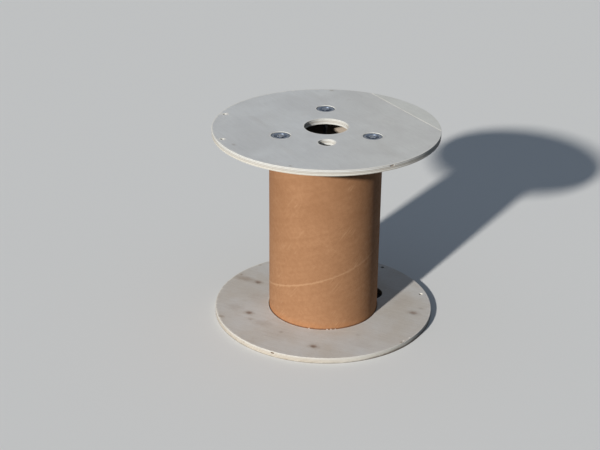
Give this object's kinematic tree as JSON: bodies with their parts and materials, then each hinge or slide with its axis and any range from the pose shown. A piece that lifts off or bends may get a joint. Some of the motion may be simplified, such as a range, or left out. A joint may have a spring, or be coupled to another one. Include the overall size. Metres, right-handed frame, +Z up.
{
  "type": "cable drum",
  "caption": "Small cable drum: round plywood flanges on a paper tube barrel, clamped by steel tie rods, with a central hole for a spindle.",
  "frame": {"origin": "centre of the lower flange's underside", "axes": "+Z up along the drum's axis, -Y towards the side that the drive hole is on"},
  "size_m": [0.3999, 0.4, 0.36],
  "materials": {
    "top_plywood": "bare sanded plywood, pale grey cream face, layered sawn edge",
    "bottom_plywood": "bare sanded plywood with small knots, layered sawn edge",
    "kraft_tube": "spiral wound brown kraft paper, matt, with a paler butt seam",
    "zinc_steel": "bluish zinc plating"
  },
  "bodies": {
    "root": {"top_flange": "top_plywood", "bottom_flange": "bottom_plywood", "barrel_tube": "kraft_tube", "tie_rod_1": "zinc_steel", "washer_top_1": "zinc_steel", "washer_bottom_1": "zinc_steel", "nut_top_1": "zinc_steel", "nut_bottom_1": "zinc_steel", "tie_rod_2": "zinc_steel", "washer_top_2": "zinc_steel", "washer_bottom_2": "zinc_steel", "nut_top_2": "zinc_steel", "nut_bottom_2": "zinc_steel", "tie_rod_3": "zinc_steel", "washer_top_3": "zinc_steel", "washer_bottom_3": "zinc_steel", "nut_top_3": "zinc_steel", "nut_bottom_3": "zinc_steel"}
  },
  "joints": []
}
